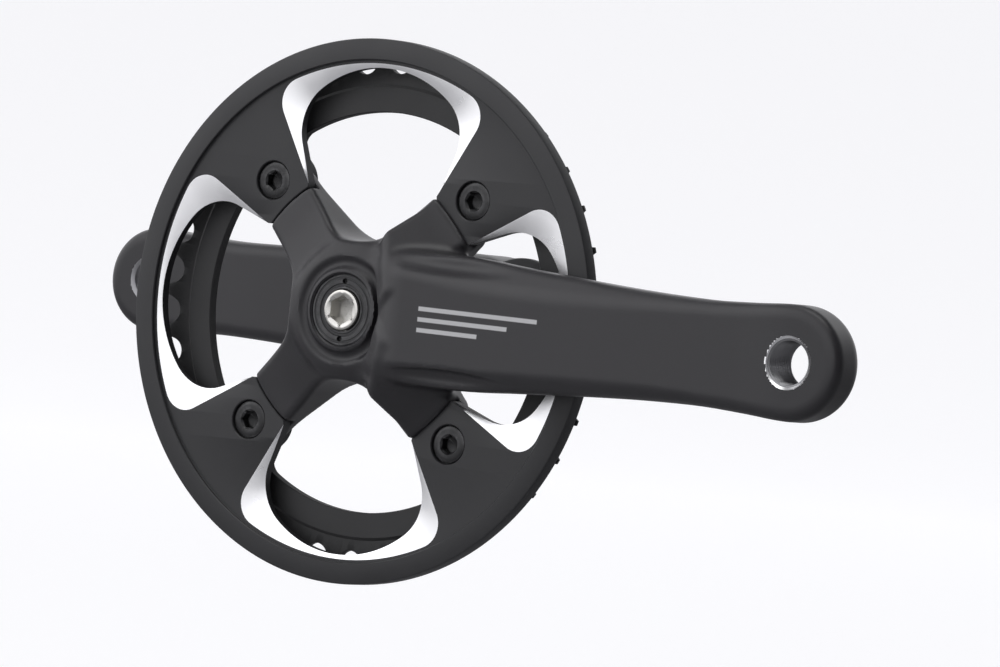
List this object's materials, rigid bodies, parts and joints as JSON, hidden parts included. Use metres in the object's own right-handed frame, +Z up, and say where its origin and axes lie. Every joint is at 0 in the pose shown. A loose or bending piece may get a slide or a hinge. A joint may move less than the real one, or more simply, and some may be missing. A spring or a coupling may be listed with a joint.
{
  "type": "bicycle crankset",
  "caption": "Bicycle crankset: two forged crank arms on a splined spindle, four-arm spider with chainring and windowed chain guard, cartridge bottom bracket.",
  "frame": {"origin": "middle of the bottom bracket on the spindle axis, halfway between the two faces of the frame's shell", "axes": "+Y along the spindle towards the left side, drive side at -Y; +X along the drive crank arm; +Z up"},
  "size_m": [0.374, 0.17, 0.1658],
  "materials": {
    "forged_arm": "satin black anodised forging",
    "guard_black": "satin black anodised, with machined silver window bevels",
    "chainring_black": "matte black coated plate",
    "bolt_black": "black oxide",
    "nut_black": "black oxide",
    "spindle_steel": "ground steel",
    "sleeve_steel": "drawn steel tube",
    "cup_black": "black anodised, turned",
    "seal_rubber": "moulded",
    "race_steel": "ground and polished",
    "ball_steel": "polished",
    "cage_plastic": "natural nylon",
    "crank_bolt_steel": "bright plated steel",
    "washer_steel": "plated",
    "cap_black": "black anodised, turned"
  },
  "bodies": {
    "bottom_bracket": {"cartridge_sleeve": "sleeve_steel", "drive_cup": "cup_black", "drive_dust_seal": "seal_rubber", "drive_outer_race": "race_steel", "drive_bearing_seals": "seal_rubber", "left_cup": "cup_black", "left_dust_seal": "seal_rubber", "left_outer_race": "race_steel", "left_bearing_seals": "seal_rubber"},
    "crank": {"spindle": "spindle_steel", "drive_crank_arm": "forged_arm", "left_crank_arm": "forged_arm", "chainring": "chainring_black", "chain_guard": "guard_black", "chainring_bolts": "bolt_black", "chainring_nuts": "nut_black", "drive_inner_race": "race_steel", "drive_crank_bolt": "crank_bolt_steel", "drive_bolt_washer": "washer_steel", "drive_extractor_cap": "cap_black", "left_inner_race": "race_steel", "left_crank_bolt": "crank_bolt_steel", "left_bolt_washer": "washer_steel", "left_extractor_cap": "cap_black"},
    "drive_ball_train": {"drive_balls": "ball_steel", "drive_ball_cage": "cage_plastic"},
    "left_ball_train": {"left_balls": "ball_steel", "left_ball_cage": "cage_plastic"}
  },
  "joints": [
    {"name": "crank_spin", "type": "hinge", "parent": "bottom_bracket", "child": "crank", "pos_m": [0, 0, 0], "axis": [0, 1, 0], "continuous": true},
    {"name": "drive_ball_orbit", "type": "hinge", "parent": "bottom_bracket", "child": "drive_ball_train", "pos_m": [0, -0.027, 0], "axis": [0, 1, 0], "continuous": true},
    {"name": "left_ball_orbit", "type": "hinge", "parent": "bottom_bracket", "child": "left_ball_train", "pos_m": [0, 0.027, 0], "axis": [0, 1, 0], "continuous": true}
  ],
  "couplings": [
    {"joint": "drive_ball_orbit", "follows": "crank_spin", "ratio": 0.41489},
    {"joint": "left_ball_orbit", "follows": "crank_spin", "ratio": 0.41489}
  ]
}
